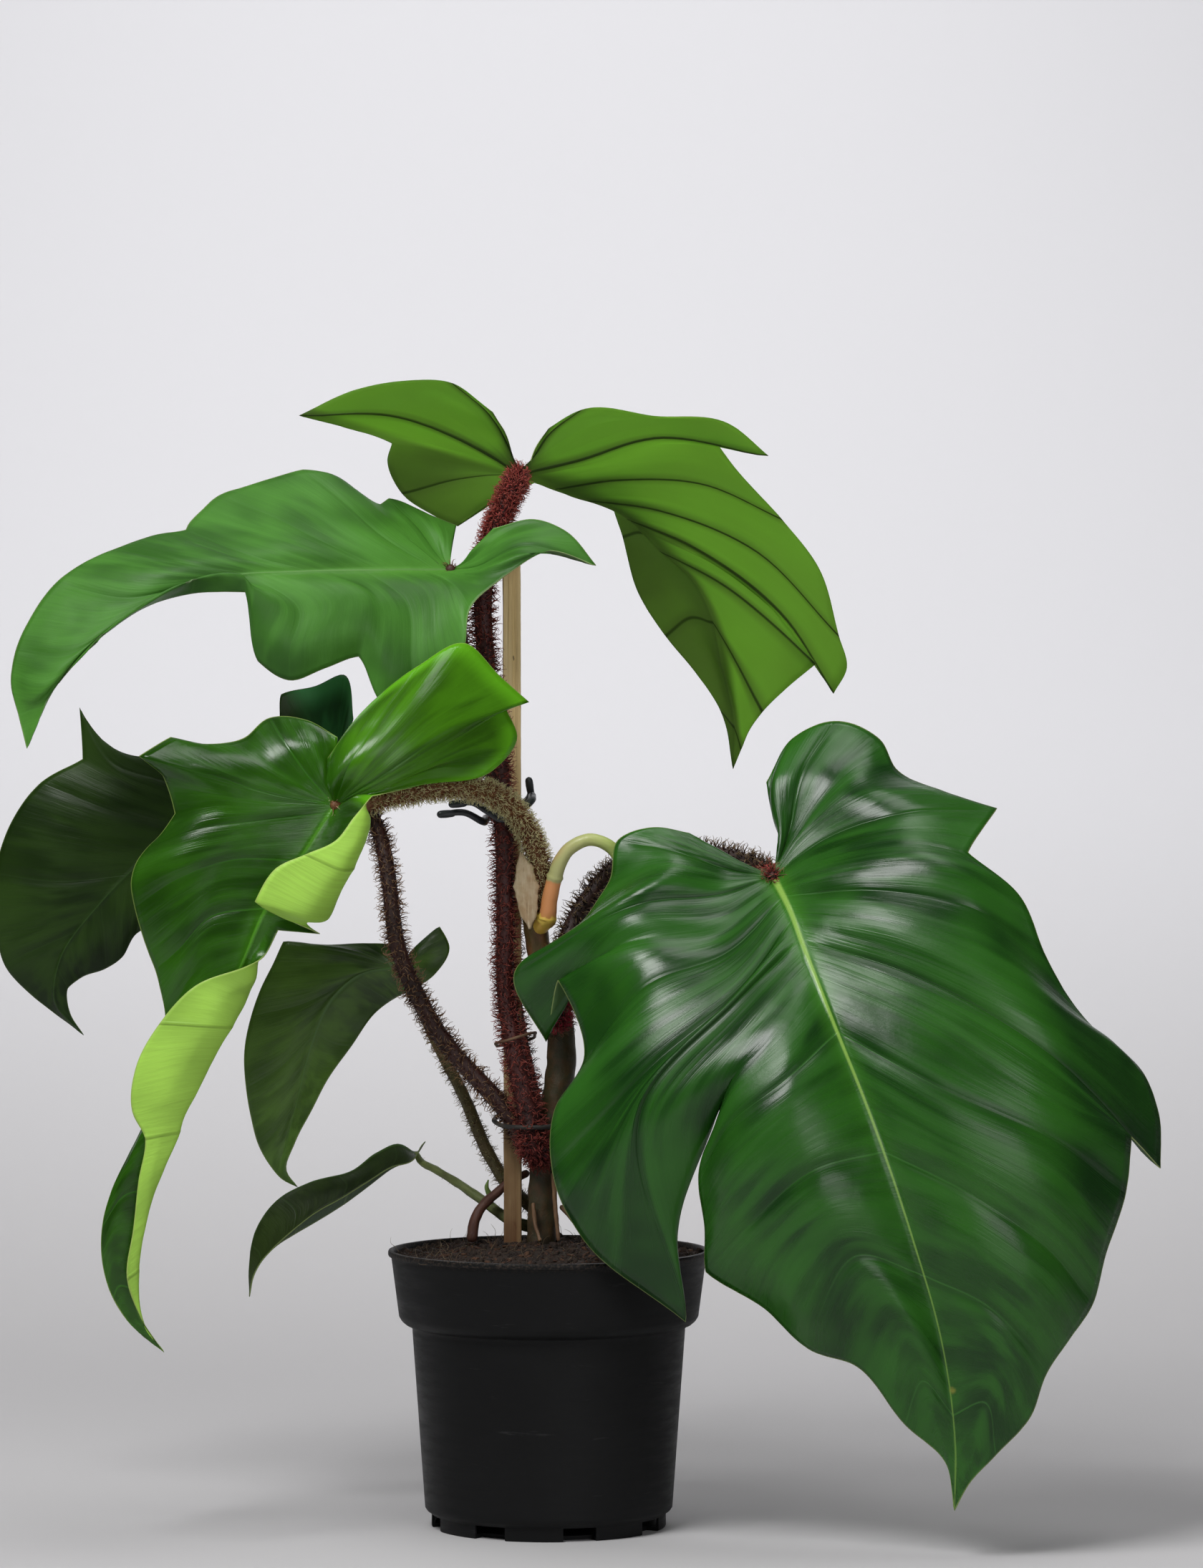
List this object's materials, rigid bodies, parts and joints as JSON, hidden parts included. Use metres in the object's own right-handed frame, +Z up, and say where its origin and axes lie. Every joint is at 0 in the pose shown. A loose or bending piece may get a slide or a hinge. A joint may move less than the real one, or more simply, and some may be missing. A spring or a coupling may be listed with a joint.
{
  "type": "potted philodendron",
  "caption": "Potted climbing philodendron: lobed leaves on hairy petioles, a stem tied to a square wooden stake, in a round plastic nursery pot.",
  "frame": {"origin": "centre of the pot's flat underside, on the surface that the pot stands on", "axes": "+Z up, along the pot's axis; +X to the right and +Y to the back as the plant is seen with its large glossy leaf at the front right"},
  "size_m": [0.691, 0.2627, 0.6829],
  "materials": {
    "nursery_pot": "satin",
    "potting_soil": "matte",
    "stake": "matte",
    "main_stem": "matte",
    "dried_sheath": "matte",
    "arched_root": "satin",
    "soil_root_left": "matte",
    "soil_root_front": "matte",
    "soil_root_middle": "matte",
    "soil_root_right": "matte",
    "side_bud": "satin",
    "clip_jaw_front": "satin",
    "clip_jaw_back": "satin",
    "twist_tie": "matte",
    "lower_tie": "matte",
    "petiole_top": "matte",
    "petiole_left_upper": "matte",
    "petiole_bright": "matte",
    "petiole_dark_left": "matte",
    "petiole_lower_left": "matte",
    "petiole_small": "satin",
    "petiole_front": "matte",
    "leaf_front": "satin",
    "leaf_top": "satin",
    "leaf_left_upper": "satin",
    "leaf_bright": "satin",
    "leaf_dark_left": "satin",
    "leaf_lower_left": "satin",
    "leaf_small": "satin"
  },
  "bodies": {
    "root": {"nursery_pot": "nursery_pot", "potting_soil": "potting_soil", "stake": "stake", "main_stem": "main_stem", "dried_sheath": "dried_sheath", "arched_root": "arched_root", "soil_root_left": "soil_root_left", "soil_root_front": "soil_root_front", "soil_root_middle": "soil_root_middle", "soil_root_right": "soil_root_right", "side_bud": "side_bud", "clip_jaw_front": "clip_jaw_front", "clip_jaw_back": "clip_jaw_back", "twist_tie": "twist_tie", "lower_tie": "lower_tie", "petiole_top": "petiole_top", "petiole_left_upper": "petiole_left_upper", "petiole_bright": "petiole_bright", "petiole_dark_left": "petiole_dark_left", "petiole_lower_left": "petiole_lower_left", "petiole_small": "petiole_small", "petiole_front": "petiole_front", "leaf_front": "leaf_front", "leaf_top": "leaf_top", "leaf_left_upper": "leaf_left_upper", "leaf_bright": "leaf_bright", "leaf_dark_left": "leaf_dark_left", "leaf_lower_left": "leaf_lower_left", "leaf_small": "leaf_small"}
  },
  "joints": []
}
